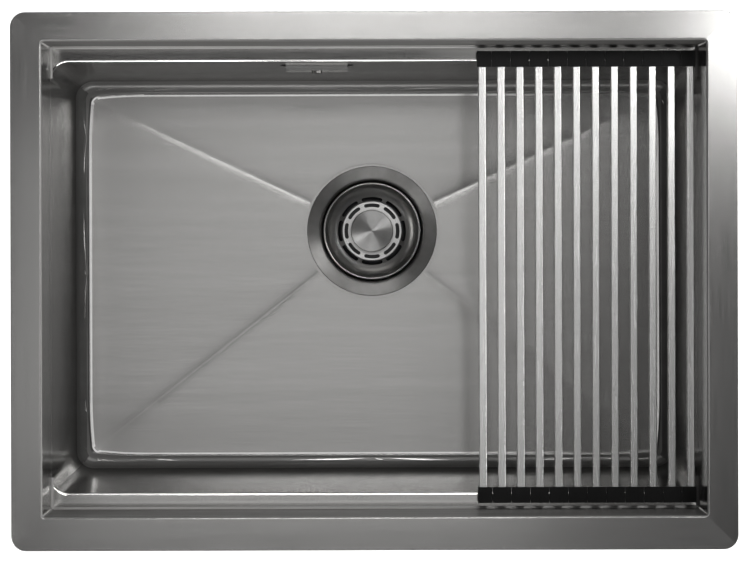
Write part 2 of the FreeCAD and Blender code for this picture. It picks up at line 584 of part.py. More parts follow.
# ---------------------------------------------------------------- waste
def make_waste():
    # Steel flange and cup in one pressing
    lip = THROAT_LIP_RADIUS
    lip_centre = (THROAT_RADIUS + lip, FLANGE_TOP - FLANGE_FALL - lip)
    skin = FLANGE_SHEET
    bend = CUP_FLOOR_RADIUS
    bend_centre = (THROAT_RADIUS - bend, CUP_FLOOR + bend)
    profile = [
        (FLANGE_RADIUS, FLANGE_UNDERSIDE),
        (FLANGE_RADIUS, FLANGE_TOP - skin / 2),
        (FLANGE_RADIUS - skin / 2, FLANGE_TOP),
        (lip_centre[0], FLANGE_TOP - FLANGE_FALL),
        [arc_middle(lip_centre, lip, 135), (THROAT_RADIUS, lip_centre[1])],
        (THROAT_RADIUS, bend_centre[1]),
        [arc_middle(bend_centre, bend, -45), (bend_centre[0], CUP_FLOOR)],
        (SCREW_RADIUS, CUP_FLOOR),
        (SCREW_RADIUS, CUP_FLOOR - skin),
        (bend_centre[0], CUP_FLOOR - skin),
        [arc_middle(bend_centre, bend + skin, -45), (CUP_OUTSIDE_RADIUS, bend_centre[1])],
        (CUP_OUTSIDE_RADIUS, FLANGE_UNDERSIDE - FLANGE_FALL - skin),
        (CUP_OUTSIDE_RADIUS + skin, FLANGE_UNDERSIDE),
    ]
    cup = turned(profile, DRAIN)
    hole_spot = DRAIN + Vector(CUP_HOLE_CIRCLE_RADIUS, 0, 0)
    hole = cylinder(CUP_HOLE_RADIUS, CUP_FLOOR + skin, CUP_FLOOR - 2 * skin, hole_spot)
    for cutter in around(hole, CUP_HOLE_COUNT, DRAIN):
        cup = cup.cut(cutter)
    save("waste_cup", cup)

    seal_outer = FLANGE_RADIUS - SEAL_INSET
    seal_inner = DRAIN_HOLE_RADIUS + SEAL_INSET
    save("flange_seal", ring(seal_outer, seal_inner, FLANGE_UNDERSIDE, -RECESS_DEPTH, DRAIN))
    gasket_inner = BODY_BORE_RADIUS + SEAL_INSET
    save("body_gasket", ring(gasket_inner + GASKET_WIDTH, gasket_inner, SHEET_UNDERSIDE, BODY_TOP, DRAIN))

    # Moulded body: lip, barrel, cone, spigot, a hub on three ribs and the overflow's port
    outside = turned(
        [
            (0, BODY_TOP),
            (BODY_LIP_RADIUS, BODY_TOP),
            (BODY_LIP_RADIUS, BODY_TOP - BODY_LIP_HEIGHT),
            (BODY_RADIUS, BODY_TOP - BODY_LIP_HEIGHT - BODY_WALL),
            (BODY_RADIUS, BARREL_BOTTOM),
            (SPIGOT_RADIUS, CONE_BOTTOM),
            (SPIGOT_RADIUS, SPIGOT_BOTTOM),
            (0, SPIGOT_BOTTOM),
        ],
        DRAIN,
    )
    inside = turned(
        [
            (0, BODY_TOP),
            (BODY_BORE_RADIUS, BODY_TOP),
            (BODY_BORE_RADIUS, BARREL_BOTTOM + BODY_WALL),
            (SPIGOT_BORE_RADIUS, CONE_BOTTOM + BODY_WALL),
            (SPIGOT_BORE_RADIUS, SPIGOT_BOTTOM),
            (0, SPIGOT_BOTTOM),
        ],
        DRAIN,
    )
    body = outside.cut(inside)
    port, port_bore = port_shapes()
    hub = cylinder(HUB_RADIUS, HUB_TOP, HUB_TOP - HUB_HEIGHT, DRAIN)
    rib_low = DRAIN + Vector(HUB_RADIUS / 2, -HUB_RIB_THICKNESS / 2, HUB_TOP - HUB_HEIGHT)
    rib_top = HUB_TOP - HUB_RIB_DROP
    rib_high = DRAIN + Vector(BODY_BORE_RADIUS + BODY_WALL / 2, HUB_RIB_THICKNESS / 2, rib_top)
    ribs = around(block(rib_low, rib_high), HUB_RIB_COUNT, DRAIN, HUB_RIB_TURN)
    ribs = [rib.common(outside) for rib in ribs]
    body = fused([body, port, hub] + ribs).cut(port_bore)
    body = body.cut(cylinder(SCREW_RADIUS, HUB_TOP, HUB_TOP - HUB_HEIGHT, DRAIN))
    nut_bottom = HUB_TOP - HUB_HEIGHT
    pocket = hexagon(CLAMP_NUT_ACROSS_FLATS, nut_bottom + CLAMP_NUT_HEIGHT, nut_bottom, DRAIN)
    save("waste_body", body.cut(pocket))

    # Clamping screw and its brass nut in the hub
    nut = pocket.cut(cylinder(SCREW_RADIUS, nut_bottom + CLAMP_NUT_HEIGHT, nut_bottom, DRAIN))
    save("clamp_nut", nut)
    head_top = CUP_FLOOR + SCREW_HEAD_HEIGHT
    head = cylinder(SCREW_HEAD_RADIUS, head_top, CUP_FLOOR, DRAIN)
    head = head.makeFillet(SCREW_HEAD_EDGE, [e for e in head.Edges if e.BoundBox.ZMin > head_top - NEAR])
    slot_low = DRAIN + Vector(-SCREW_HEAD_RADIUS, -SCREW_SLOT_WIDTH / 2, head_top - SCREW_SLOT_DEPTH)
    slot_high = DRAIN + Vector(SCREW_HEAD_RADIUS, SCREW_SLOT_WIDTH / 2, head_top)
    shank = cylinder(SCREW_RADIUS, CUP_FLOOR, nut_bottom - CLAMP_SCREW_TAIL, DRAIN)
    save("clamp_screw", fused([head.cut(block(slot_low, slot_high)), shank]))


def make_outlet():
    """A plain outlet tube, held in the body's spigot by a cone washer and a union nut. Above its shoulder,
    just under the nut, the tube is a little thinner."""
    tube_top = SPIGOT_BOTTOM + OUTLET_TUBE_INSERT
    tube_bottom = tube_top - OUTLET_TUBE_LENGTH
    bore = OUTLET_TUBE_RADIUS - OUTLET_TUBE_WALL
    insert = OUTLET_TUBE_RADIUS - OUTLET_TUBE_RELIEF
    washer_bottom = SPIGOT_BOTTOM - OUTLET_WASHER_HEIGHT
    nut_bottom = washer_bottom - OUTLET_NUT_LIP
    nut_top = nut_bottom + OUTLET_NUT_HEIGHT
    shoulder = nut_bottom - OUTLET_SHOULDER_GAP
    tube = fused([
        cylinder(insert, tube_top, shoulder, DRAIN),
        cylinder(OUTLET_TUBE_RADIUS, shoulder, tube_bottom, DRAIN),
    ])
    save("outlet_tube", tube.cut(cylinder(bore, tube_top, tube_bottom, DRAIN)))
    save("outlet_washer", ring(SPIGOT_RADIUS, insert, SPIGOT_BOTTOM, washer_bottom, DRAIN))
    radius = SPIGOT_RADIUS + OUTLET_NUT_WALL
    nut = grip_ring(radius, nut_top, nut_bottom, OUTLET_NUT_RIB_COUNT, OUTLET_NUT_RIB_DEPTH, DRAIN)
    nut = nut.cut(cylinder(SPIGOT_RADIUS, nut_top, washer_bottom, DRAIN))
    save("outlet_nut", nut.cut(cylinder(insert + OUTLET_NUT_CLEARANCE, washer_bottom, nut_bottom, DRAIN)))


def grip_ring(radius, top, bottom, count, depth, centre):
    """A round block with shallow upright grooves for fingers."""
    solid = cylinder(radius, top, bottom, centre)
    groove_radius = radius * math.sin(math.pi / count) * GRIP_GROOVE_SHARE
    spot = centre + Vector(radius + groove_radius - depth, 0, 0)
    groove = cylinder(groove_radius, top, bottom, spot)
    return solid.cut(Part.makeCompound(around(groove, count, centre)))


# ---------------------------------------------------------------- overflow and hose
def spigot_spot():
    """Where the overflow's spigot starts, at the underside of the box behind the wall."""
    inset = PORT_RADIUS + OVERFLOW_SPIGOT_INSET
    depth = SHEET_ALONG_NORMAL + OVERFLOW_SEAL_THICKNESS + OVERFLOW_BOX_DEPTH - inset
    return wall_frame().multVec(Vector(0, depth, -OVERFLOW_BOX_HEIGHT / 2))


def port_direction():
    away = spigot_spot() - DRAIN
    away.z = 0
    return away.normalize()


def port_start():
    """The mouth of the waste body's port, on the port's axis."""
    return DRAIN + port_direction() * (BODY_RADIUS + PORT_REACH) + Vector(0, 0, PORT_LEVEL)


def port_shapes():
    along = port_direction()
    mouth = port_start()
    root = DRAIN + along * (BODY_BORE_RADIUS + BODY_WALL / 2) + Vector(0, 0, PORT_LEVEL)
    length = (mouth - root).Length
    port = Part.makeCylinder(PORT_RADIUS, length, root, along)
    bore_start = DRAIN + along * (BODY_BORE_RADIUS - BODY_WALL) + Vector(0, 0, PORT_LEVEL)
    bore = Part.makeCylinder(PORT_BORE_RADIUS, (mouth - bore_start).Length, bore_start, along)
    return port, bore


def make_overflow():
    # Cover: a bent strip that stands off the wall, open at both ends
    level = COVER_HEIGHT / 2
    stand = COVER_STANDOFF
    skin = COVER_SHEET
    face_level = level - COVER_FOOT - COVER_BEVEL
    section = [
        (0, level), (-skin, level), (-skin, level - COVER_FOOT + skin / 2), (-stand, face_level + skin / 2),
        (-stand, -face_level - skin / 2), (-skin, -level + COVER_FOOT - skin / 2), (-skin, -level),
        (0, -level), (0, -level + COVER_FOOT), (-stand + skin, -face_level), (-stand + skin, face_level),
        (0, level - COVER_FOOT), (0, level),
    ]
    left = -COVER_LENGTH / 2
    wire = Part.makePolygon([Vector(left, y, z) for y, z in section])
    cover = Part.Face(wire).extrude(ALONG_X * COVER_LENGTH)
    screw_axis = Vector(0, 1, 0)
    cover = cover.cut(Part.makeCylinder(COVER_SCREW_RADIUS, 2 * stand, Vector(0, -2 * stand, 0), screw_axis))
    save("overflow_cover", on_wall(cover))

    # Seal, and the moulded box behind the wall with its downward spigot
    seal_outer = SHEET_ALONG_NORMAL + OVERFLOW_SEAL_THICKNESS
    half_long = OVERFLOW_FLANGE_LENGTH / 2
    half_high = OVERFLOW_FLANGE_HEIGHT / 2
    corner = OVERFLOW_CORNER_RADIUS
    seal = wall_slab(half_long, half_high, corner, SHEET_ALONG_NORMAL, seal_outer)
    slot_size = (OVERFLOW_SLOT_LENGTH / 2, OVERFLOW_SLOT_HEIGHT / 2)
    window = wall_slab(*slot_size, corner, SHEET_ALONG_NORMAL, seal_outer)
    save("overflow_seal", on_wall(seal.cut(window)))

    flange = wall_slab(half_long, half_high, corner, seal_outer, seal_outer + OVERFLOW_FLANGE_THICKNESS)
    box_outer = seal_outer + OVERFLOW_BOX_DEPTH
    wall = OVERFLOW_BOX_WALL
    box_long = OVERFLOW_BOX_LENGTH / 2
    box_high = OVERFLOW_BOX_HEIGHT / 2
    bend = OVERFLOW_BOX_CORNER_RADIUS
    box = wall_slab(box_long, box_high, bend, seal_outer, box_outer)
    hollow = wall_slab(box_long - wall, box_high - wall, bend - wall, seal_outer, box_outer - wall)
    boss_start = Vector(0, seal_outer, 0)
    boss = Part.makeCylinder(COVER_SCREW_RADIUS + wall, OVERFLOW_BOX_DEPTH - wall / 2, boss_start, screw_axis)
    start = spigot_spot()
    spigot = Part.makeCylinder(PORT_RADIUS, OVERFLOW_SPIGOT_LENGTH + wall, start + UP * wall, -UP)
    drill_length = OVERFLOW_SPIGOT_LENGTH + 3 * wall
    drill = Part.makeCylinder(PORT_BORE_RADIUS, drill_length, start + UP * 3 * wall, -UP)
    shell = fused([on_wall(flange), on_wall(box), spigot]).cut(on_wall(hollow))
    shell = fused([shell.cut(drill), on_wall(boss)])
    screw_length = stand + seal_outer + COVER_SCREW_REACH
    screw_hole = Part.makeCylinder(COVER_SCREW_RADIUS, screw_length, Vector(0, -stand, 0), screw_axis)
    save("overflow_box", shell.cut(on_wall(screw_hole)))

    head_start = Vector(0, -stand - COVER_SCREW_HEAD_HEIGHT, 0)
    head = Part.makeCylinder(COVER_SCREW_HEAD_RADIUS, COVER_SCREW_HEAD_HEIGHT, head_start, screw_axis)
    half_slot = COVER_SCREW_SLOT_WIDTH / 2
    slot_low = Vector(-COVER_SCREW_HEAD_RADIUS, -stand - COVER_SCREW_HEAD_HEIGHT, -half_slot)
    slot_high = Vector(COVER_SCREW_HEAD_RADIUS, -stand - COVER_SCREW_HEAD_HEIGHT / 2, half_slot)
    save("overflow_screw", on_wall(fused([head.cut(block(slot_low, slot_high)), screw_hole])))


def make_hose():
    """A ribbed hose from the overflow's spigot, down and round one bend into the waste body's port."""
    top = spigot_spot() - UP * (OVERFLOW_SPIGOT_LENGTH + HOSE_WASHER_THICKNESS)
    along = port_direction()
    mouth = port_start() + along * HOSE_WASHER_THICKNESS
    bend_centre_level = PORT_LEVEL + HOSE_BEND_RADIUS
    drop = top.z - bend_centre_level
    reach = (Vector(top.x, top.y, 0) - Vector(mouth.x, mouth.y, 0)).Length
    level_run = reach - HOSE_BEND_RADIUS
    bend_length = HOSE_BEND_RADIUS * math.pi / 2
    total = drop + bend_length + level_run

    def station(distance):
        """The point and direction of the hose's centre line at a distance from its upper end."""
        if distance <= drop:
            return top - UP * distance, -UP
        if distance <= drop + bend_length:
            angle = (distance - drop) / HOSE_BEND_RADIUS
            inward = along * -(HOSE_BEND_RADIUS * (1 - math.cos(angle)))
            spot = top - UP * (drop + HOSE_BEND_RADIUS * math.sin(angle)) + inward
            return spot, -UP * math.cos(angle) - along * math.sin(angle)
        rest = distance - drop - bend_length
        return mouth + along * (level_run - rest), -along

    across = UP.cross(along).normalize()

    def circle(distance, radius):
        spot, direction = station(distance)
        axes = Part.Circle(spot, direction, radius)
        axes.XAxis = across
        return Part.Wire(axes.toShape())

    ribbed = total - 2 * HOSE_CUFF_LENGTH
    count = int(ribbed / HOSE_RIB_PITCH)
    pitch = ribbed / count
    root, crest = HOSE_ROOT_RADIUS, HOSE_CREST_RADIUS
    cuff = HOSE_CUFF_RADIUS
    rings = [circle(0, cuff), circle(HOSE_CUFF_LENGTH - HOSE_CUFF_CHAMFER, cuff)]
    for k in range(count):
        first = HOSE_CUFF_LENGTH + k * pitch
        for share, radius in ((0.0, root), (0.25, root), (0.5, crest), (0.75, crest)):
            rings.append(circle(first + share * pitch, radius))
    lower_cuff = total - HOSE_CUFF_LENGTH
    rings += [circle(lower_cuff, root), circle(lower_cuff + HOSE_CUFF_CHAMFER, cuff), circle(total, cuff)]
    skin = ruled_solid(rings)
    start = Part.makeCylinder(HOSE_BORE_RADIUS, drop, top, -UP)
    turn_centre = top - UP * drop - along * HOSE_BEND_RADIUS
    disc = Part.Face(Part.Wire(Part.makeCircle(HOSE_BORE_RADIUS, top - UP * drop, UP)))
    bend = disc.revolve(turn_centre, -across, 90)
    if bend.Volume < 0 or bend.BoundBox.ZMin > turn_centre.z - HOSE_BEND_RADIUS / 2:
        bend = disc.revolve(turn_centre, across, 90)
    end = Part.makeCylinder(HOSE_BORE_RADIUS, level_run, mouth, along)
    save("overflow_hose", skin.cut(start).cut(bend).cut(end))
    print("overflow hose: %d ribs, %.0f mm long, bend radius %.0f mm" % (count, total, HOSE_BEND_RADIUS))

    # At each end a rubber washer and a collar that screws over the spigot and traps the hose's cuff
    for name, spot, direction in (("top", top, UP), ("bottom", mouth, -along)):
        washer = Part.makeCylinder(PORT_RADIUS, HOSE_WASHER_THICKNESS, spot, direction)
        washer = washer.cut(Part.makeCylinder(PORT_BORE_RADIUS, HOSE_WASHER_THICKNESS, spot, direction))
        save("hose_washer_" + name, washer)
        radius = HOSE_CUFF_RADIUS + COLLAR_WALL
        collar = grip_ring(radius, COLLAR_HEIGHT, 0, COLLAR_RIB_COUNT, COLLAR_RIB_DEPTH, Vector(0, 0, 0))
        collar = collar.cut(cylinder(HOSE_CUFF_RADIUS, COLLAR_HEIGHT, 0))
        turn = FreeCAD.Rotation(UP, direction)
        collar.Placement = FreeCAD.Placement(spot - direction * COLLAR_LIP, turn)
        save("hose_collar_" + name, collar)


# ---------------------------------------------------------------- basket
def slot_cutter(radius, degrees, top, bottom):
    """A curved slot with round ends, upright through a floor."""
    half = math.radians(degrees / 2)
    wide = SLOT_WIDTH / 2
    sector = ring(radius + wide, radius - wide, top, bottom)
    reach = 2 * radius
    wedge = [
        Vector(0, 0, bottom),
        Vector(reach * math.cos(half), -reach * math.sin(half), bottom),
        Vector(reach, 0, bottom),
        Vector(reach * math.cos(half), reach * math.sin(half), bottom),
        Vector(0, 0, bottom),
    ]
    sector = sector.common(Part.Face(Part.makePolygon(wedge)).extrude(UP * (top - bottom)))
    ends = []
    for angle in (-half, half):
        spot = Vector(radius * math.cos(angle), radius * math.sin(angle), 0)
        ends.append(cylinder(wide, top, bottom, spot))
    cutter = fused([sector] + ends)
    cutter.translate(DRAIN)
    return cutter


def make_basket():
    bead = BASKET_BEAD_RADIUS
    skin = BASKET_SHEET
    bead_centre = (BASKET_RADIUS - bead, BASKET_TOP - bead)
    slope_top = (BASKET_SLOPE_RADIUS, BASKET_FLOOR + BASKET_SLOPE_RISE)
    wall_top = (BASKET_RADIUS - 2 * bead, BASKET_TOP - 2.5 * bead)
    bow = BASKET_WALL_BOW
    belly = ((slope_top[0] + wall_top[0]) / 2 + bow, (slope_top[1] + wall_top[1]) / 2 - bow)
    offset = skin * math.sqrt(0.5)
    profile = [
        (POST_SHANK_RADIUS, BASKET_FLOOR),
        (BASKET_FLOOR_RADIUS, BASKET_FLOOR),
        slope_top,
        [belly, wall_top],
        (bead_centre[0] - bead, bead_centre[1]),
        [(bead_centre[0], BASKET_TOP), (BASKET_RADIUS, bead_centre[1])],
        [arc_middle(bead_centre, bead, -45), (bead_centre[0], bead_centre[1] - bead)],
        (wall_top[0] + skin, wall_top[1]),
        [(belly[0] + offset, belly[1] - offset), (slope_top[0] + offset, slope_top[1] - offset)],
        (BASKET_FLOOR_RADIUS + skin / 3, BASKET_UNDERSIDE),
        (POST_SHANK_RADIUS, BASKET_UNDERSIDE),
    ]
    cup = turned(profile, DRAIN)
    top, bottom = BASKET_TOP, BASKET_UNDERSIDE - skin
    cutters = []
    for radius, degrees in ((INNER_SLOT_RADIUS, INNER_SLOT_ANGLE), (OUTER_SLOT_RADIUS, OUTER_SLOT_ANGLE)):
        cutters += around(slot_cutter(radius, degrees, top, bottom), SLOT_COUNT, DRAIN)
    save("basket_cup", cup.cut(Part.makeCompound(cutters)))

    cap_bottom = CAP_TOP - CAP_THICKNESS
    cap = cylinder(CAP_RADIUS, CAP_TOP, cap_bottom, DRAIN)
    cap = cap.makeChamfer(CAP_EDGE, [e for e in cap.Edges if e.BoundBox.ZMin > CAP_TOP - NEAR])
    save("basket_cap", cap)

    nut_bottom = STOPPER_DISC_BOTTOM - BASKET_NUT_HEIGHT
    post = fused([
        cylinder(POST_RADIUS, cap_bottom, BASKET_FLOOR, DRAIN),
        cylinder(POST_SHANK_RADIUS, BASKET_FLOOR, nut_bottom, DRAIN),
        ring(POST_RADIUS, POST_SHANK_RADIUS / 2, BASKET_UNDERSIDE, STOPPER_TOP, DRAIN),
    ])
    save("basket_post", post)

    stopper = turned(
        [
            (POST_SHANK_RADIUS, STOPPER_TOP),
            (STOPPER_RADIUS - STOPPER_LIP, STOPPER_TOP),
            (STOPPER_RADIUS, STOPPER_TOP - STOPPER_LIP),
            (STOPPER_RADIUS, STOPPER_BOTTOM),
            (STOPPER_RADIUS - STOPPER_LIP / 2, STOPPER_BOTTOM),
            (STOPPER_RADIUS - STOPPER_LIP, STOPPER_DISC_BOTTOM - STOPPER_LIP),
            (STOPPER_RADIUS - 2 * STOPPER_LIP, STOPPER_DISC_BOTTOM),
            (POST_SHANK_RADIUS, STOPPER_DISC_BOTTOM),
        ],
        DRAIN,
    )
    save("basket_stopper", stopper)
    nut = hexagon(BASKET_NUT_ACROSS_FLATS, STOPPER_DISC_BOTTOM, nut_bottom, DRAIN)
    save("basket_nut", nut.cut(cylinder(POST_SHANK_RADIUS, STOPPER_DISC_BOTTOM, nut_bottom, DRAIN)))


# ---------------------------------------------------------------- rack
def bar_section(size, corner, x):
    """A rounded square in the XZ plane, centred on a bar's axis."""
    wire = outline(size / 2, size / 2, corner, 0)
    wire.rotate(Vector(0, 0, 0), ALONG_X, 90)
    wire.translate(Vector(x, 0, BAR_CENTRE_LEVEL))
    return Part.Face(wire)


def shoe_section(x, first, last):
    """A shoe seen from its end: a foot that tapers a little, under a thin web that reaches half way to the
    next foot. The web's top edge is the line that the rack rolls about."""
    half_foot = SHOE_FOOT_WIDTH / 2
    reach = RACK_PITCH / 2 - SHOE_JOINT_GAP / 2
    left = half_foot if first else reach
    right = half_foot if last else reach
    web = SHOE_TOP_LEVEL - SHOE_WEB_THICKNESS
    sole = SHOE_SOLE_LEVEL
    taper = SHOE_FOOT_TAPER
    points = [
        (-left, SHOE_TOP_LEVEL), (right, SHOE_TOP_LEVEL), (right, web), (half_foot, web),
        (half_foot - taper, sole), (-half_foot + taper, sole), (-half_foot, web), (-left, web),
    ]
    kept = [p for k, p in enumerate(points) if p != points[k - 1]]
    return Part.makePolygon([Vector(x + dx, 0, z) for dx, z in kept + kept[:1]])


def make_rack():
    half = RACK_LENGTH / 2
    bar_half = half - SHOE_DEPTH + BAR_SOCKET_DEPTH
    for number in range(1, RACK_BAR_COUNT + 1):
        x = FIRST_BAR_X + RACK_PITCH * (number - 1)
        outer = bar_section(RACK_BAR_SIZE, RACK_BAR_CORNER, x)
        inner_size = RACK_BAR_SIZE - 2 * RACK_BAR_WALL
        inner = bar_section(inner_size, RACK_BAR_CORNER - RACK_BAR_WALL / 2, x)
        start = Vector(0, RACK_BACK_OFFSET - bar_half, 0)
        length = Vector(0, 2 * bar_half, 0)
        bar_solid = outer.extrude(length)
        bar_solid.translate(start)
        hollow = inner.extrude(length)
        hollow.translate(start)
        save("rack_bar_%02d" % number, bar_solid.cut(hollow))
        shoes = []
        for side in (-1, 1):
            section = shoe_section(x, number == 1, number == RACK_BAR_COUNT)
            shoe = Part.Face(section).extrude(Vector(0, SHOE_DEPTH, 0))
            low_end = -half if side < 0 else half - SHOE_DEPTH
            shoe.translate(Vector(0, RACK_BACK_OFFSET + low_end, 0))
            shoes.append(shoe.cut(bar_solid))
        save("rack_shoes_%02d" % number, Part.makeCompound(shoes))


def main():
    os.makedirs("parts", exist_ok=True)
    make_bowl()
    make_pads()
    make_waste()
    make_outlet()
    make_basket()
    make_overflow()
    make_hose()
    make_rack()


main()
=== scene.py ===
# %% [markdown]
# # A stainless sink, seen from straight above
#
# This lesson dresses a finished sink model for a product picture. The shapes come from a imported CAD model,
# so most of the work here is finishes, light and the camera. The welded shell, the cover of the overflow
# and the bars of the rack are copied first, because a brushed finish needs a UV map, and the floor of the
# bowl gets its pressed creases.

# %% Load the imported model
import json
import math

import bmesh
import bpy
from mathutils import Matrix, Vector

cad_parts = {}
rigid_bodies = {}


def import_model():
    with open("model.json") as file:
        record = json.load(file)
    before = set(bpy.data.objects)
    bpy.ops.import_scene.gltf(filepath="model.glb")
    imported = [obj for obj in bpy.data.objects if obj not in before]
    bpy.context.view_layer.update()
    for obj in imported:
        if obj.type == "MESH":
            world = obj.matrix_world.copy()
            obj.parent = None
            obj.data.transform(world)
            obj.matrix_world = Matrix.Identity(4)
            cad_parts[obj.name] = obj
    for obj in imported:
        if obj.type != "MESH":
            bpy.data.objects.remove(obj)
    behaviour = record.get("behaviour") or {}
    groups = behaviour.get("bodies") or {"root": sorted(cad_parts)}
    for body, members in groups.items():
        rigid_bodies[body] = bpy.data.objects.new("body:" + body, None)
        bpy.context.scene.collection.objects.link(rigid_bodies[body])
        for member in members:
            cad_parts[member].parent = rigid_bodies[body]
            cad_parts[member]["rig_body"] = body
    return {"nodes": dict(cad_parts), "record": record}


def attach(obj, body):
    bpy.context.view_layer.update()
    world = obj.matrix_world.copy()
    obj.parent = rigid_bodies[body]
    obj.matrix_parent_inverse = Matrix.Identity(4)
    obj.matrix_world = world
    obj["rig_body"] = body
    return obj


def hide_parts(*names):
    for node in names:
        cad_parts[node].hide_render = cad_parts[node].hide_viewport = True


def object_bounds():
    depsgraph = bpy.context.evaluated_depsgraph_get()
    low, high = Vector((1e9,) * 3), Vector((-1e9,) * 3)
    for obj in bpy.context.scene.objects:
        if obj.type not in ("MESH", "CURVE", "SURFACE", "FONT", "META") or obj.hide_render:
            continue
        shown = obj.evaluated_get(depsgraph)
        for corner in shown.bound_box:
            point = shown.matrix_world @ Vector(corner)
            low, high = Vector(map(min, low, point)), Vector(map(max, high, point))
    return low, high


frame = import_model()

cad_low, cad_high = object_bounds()
nodes = frame["nodes"]
print("the model has", len(nodes), "pieces and measures", [round(v, 3) for v in cad_high - cad_low])

# %% [markdown]
# ## The camera
#
# The picture was taken with a long lens, straight down, from about two metres over the rim. Looking
# straight down, a wall right below the camera shows nothing of its face and a wall further out shows more
# of it, so the point below the camera can be found from how much of each wall shows. It lies near the back
# of the bowl, and a small lens shift brings the whole sink back into the picture. A lens shift keeps the
# lines parallel, which turning the camera would not. The sink lies a little askew in the picture, by a
# sixth of a degree, so the camera is turned by as much about its own line of sight.

# %% Set up the camera
WIDE, HIGH = 750, 562
PIXELS_PER_METRE = 1254.7
CAMERA_HEIGHT = 2.077
BELOW_CAMERA_X, BELOW_CAMERA_Y = -0.0009, 0.0395
SPOT_ACROSS, SPOT_DOWN = 373.0, 229.0
CAMERA_TURN = -0.16

lens = bpy.data.cameras.new("camera")
camera = bpy.data.objects.new("camera", lens)
bpy.context.scene.collection.objects.link(camera)
bpy.context.scene.camera = camera
lens.sensor_width = 36.0
lens.lens = PIXELS_PER_METRE * CAMERA_HEIGHT / WIDE * lens.sensor_width
lens.shift_x = (WIDE / 2 - SPOT_ACROSS) / WIDE
lens.shift_y = (SPOT_DOWN - HIGH / 2) / WIDE
lens.clip_start = 0.05
lens.clip_end = 20.0
camera.location = (BELOW_CAMERA_X, BELOW_CAMERA_Y, CAMERA_HEIGHT)
camera.rotation_euler = (0.0, 0.0, math.radians(CAMERA_TURN))
print("lens", round(lens.lens, 1), "mm, shift", round(lens.shift_x, 4), round(lens.shift_y, 4))

# %% [markdown]
# ## Starting a finish
#
# Every finish here is made the same way. A noise texture is stretched so that it looks like the marks the
# real surface has: long scratches for brushed steel, small grains for moulded plastic. The noise is laid
# out in metres, so its size on the surface is a real size.

# %% Write the tools that start a finish
def add_node(material, kind, **values):
    node = material.node_tree.nodes.new(kind)
    for name, value in values.items():
        setattr(node, name, value)
    return node


def new_finish(name, colour, roughness, metallic=0.0):
    """A new material and its shader, with these values on it."""
    material = bpy.data.materials.new(name)
    material.use_nodes = True
    shader = material.node_tree.nodes["Principled BSDF"]
    shader.inputs["Base Color"].default_value = (*colour, 1.0)
    shader.inputs["Roughness"].default_value = roughness
    shader.inputs["Metallic"].default_value = metallic
    return material, shader


def object_place(material):
    return add_node(material, "ShaderNodeTexCoord").outputs["Object"]


def grains(material, place, scale, detail=3.0):
    """Noise with this many grains per metre along each axis."""
    mapping = add_node(material, "ShaderNodeMapping")
    mapping.inputs["Scale"].default_value = scale
    noise = add_node(material, "ShaderNodeTexNoise")
    noise.inputs["Scale"].default_value = 1.0
    noise.inputs["Detail"].default_value = detail
    material.node_tree.links.new(place, mapping.inputs["Vector"])
    material.node_tree.links.new(mapping.outputs["Vector"], noise.inputs["Vector"])
    return noise.outputs["Fac"]


# %% [markdown]
# ## Letting the noise drive a finish
#
# The same noise drives the roughness, a slight change of tone and a faint bump, so that the three agree
# with each other. Noise hardly ever comes near 0 or 1, so the middle of its range is spread over the whole
# change.

# %% Write the tools that drive a finish
NOISE_LOW, NOISE_HIGH = 0.3, 0.7


def drive_roughness(material, shader, value, smooth, rough):
    """Lets a noise move the roughness between two values."""
    spread = add_node(material, "ShaderNodeMapRange")
    spread.inputs["From Min"].default_value = NOISE_LOW
    spread.inputs["From Max"].default_value = NOISE_HIGH
    spread.inputs["To Min"].default_value = smooth
    spread.inputs["To Max"].default_value = rough
    material.node_tree.links.new(value, spread.inputs["Value"])
    material.node_tree.links.new(spread.outputs["Result"], shader.inputs["Roughness"])


def drive_colour(material, shader, value, dark, light):
    """Lets a noise move the colour between two tones."""
    ramp = add_node(material, "ShaderNodeValToRGB")
    for stop, position, tone in zip(ramp.color_ramp.elements, (NOISE_LOW, NOISE_HIGH), (dark, light)):
        stop.position = position
        stop.color = (*tone, 1.0)
    material.node_tree.links.new(value, ramp.inputs["Fac"])
    material.node_tree.links.new(ramp.outputs["Color"], shader.inputs["Base Color"])


def drive_bump(material, shader, noise, height):
    """Lets a noise raise the surface by up to a height in metres."""
    bump = add_node(material, "ShaderNodeBump")
    bump.inputs["Distance"].default_value = height
    material.node_tree.links.new(noise, bump.inputs["Height"])
    material.node_tree.links.new(bump.outputs["Normal"], shader.inputs["Normal"])


# %% [markdown]
# ## Brushed sheet
#
# Sheet for sinks is brushed with a belt, which leaves fine scratches along one direction. Light then
# spreads across the scratches far more than along them. That is the shader's anisotropy, and it needs to
# know which way the scratches run, so its tangent comes from a UV map named grain. A quarter turn of the
# anisotropy makes the shine spread across the tangent and not along it.
#
# A wall seen almost edge-on mirrors nearly everything, whatever its colour, and so do bends. A lower share of
# metal takes that mirroring away. Together with dark colours, this paints shade on the bends, the fillets and
# the walls, while the light colours of the ledge, the pan's step and the cover's lip are painted highlights.

# %% Make the finishes of the sheet
QUARTER_TURN = 0.25
SCRATCHES_PER_METRE = (22.0, 2600.0, 1.0)
BELT_MARKS_PER_METRE = (2.5, 70.0, 1.0)
SCRATCH_HEIGHT = 0.000002
WALL_SCRATCH_HEIGHT = 0.0000004


